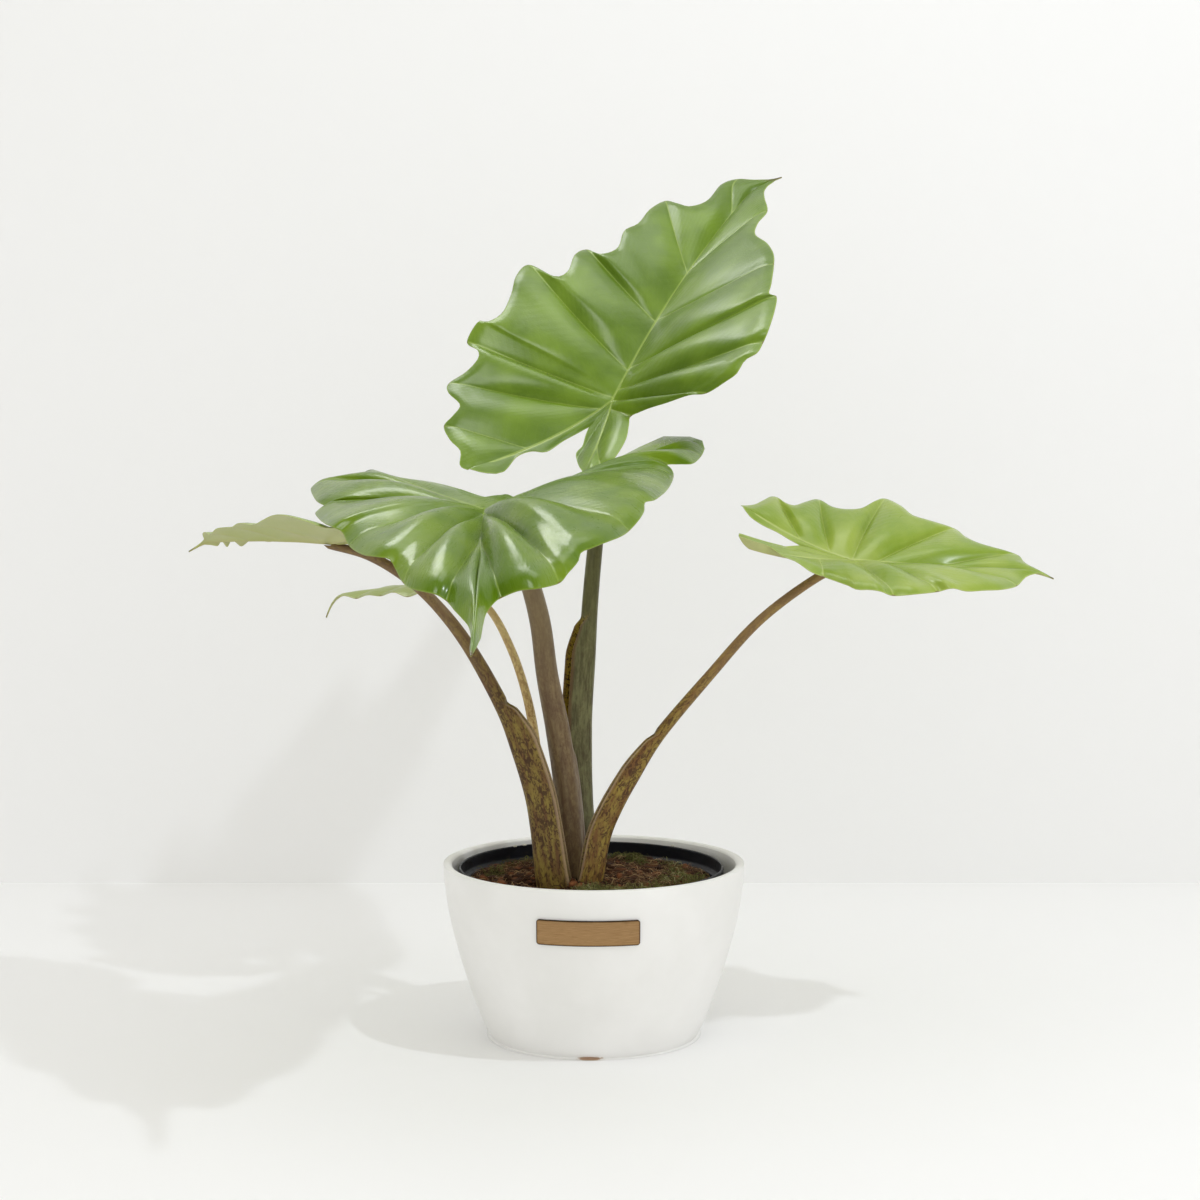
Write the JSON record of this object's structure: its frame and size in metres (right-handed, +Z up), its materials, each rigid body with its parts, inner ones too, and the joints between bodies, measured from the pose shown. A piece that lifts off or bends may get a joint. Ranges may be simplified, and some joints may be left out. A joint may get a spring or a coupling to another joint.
{
  "type": "potted alocasia portora house plant",
  "caption": "Elephant-ear house plant with wavy arrow-shaped leaves on sheathed stalks, rooted in soil in a black liner inside a white tapered pot.",
  "frame": {"origin": "centre of the flat underside of the white outer pot", "axes": "+Z up along the axis of the pot, -Y towards the front with the bronze plate, +X to the right seen from the front"},
  "size_m": [0.4945, 0.4692, 0.5012],
  "materials": {
    "outer_pot": "smooth matte white",
    "bronze_plate": "brushed antique bronze",
    "nursery_liner": "moulded black plastic",
    "corm": "rough brown skin",
    "soil": "moist coir and peat",
    "tall_stalk": "grey-green satin skin",
    "front_stalk": "grey-brown satin skin",
    "left_stalk": "mottled brown and olive satin skin",
    "small_stalk": "yellow mottled satin skin",
    "right_stalk": "mottled yellow-brown satin skin",
    "tall_leaf": "glossy living leaf",
    "front_leaf": "very glossy living leaf",
    "left_leaf": "glossy living leaf with a pale matte underside",
    "small_leaf": "glossy living leaf",
    "right_leaf": "glossy living leaf"
  },
  "bodies": {
    "root": {"outer_pot": "outer_pot", "bronze_plate": "bronze_plate", "nursery_liner": "nursery_liner", "corm": "corm", "soil": "soil", "tall_stalk": "tall_stalk", "front_stalk": "front_stalk", "left_stalk": "left_stalk", "small_stalk": "small_stalk", "right_stalk": "right_stalk", "tall_leaf": "tall_leaf", "front_leaf": "front_leaf", "left_leaf": "left_leaf", "small_leaf": "small_leaf", "right_leaf": "right_leaf"}
  },
  "joints": []
}
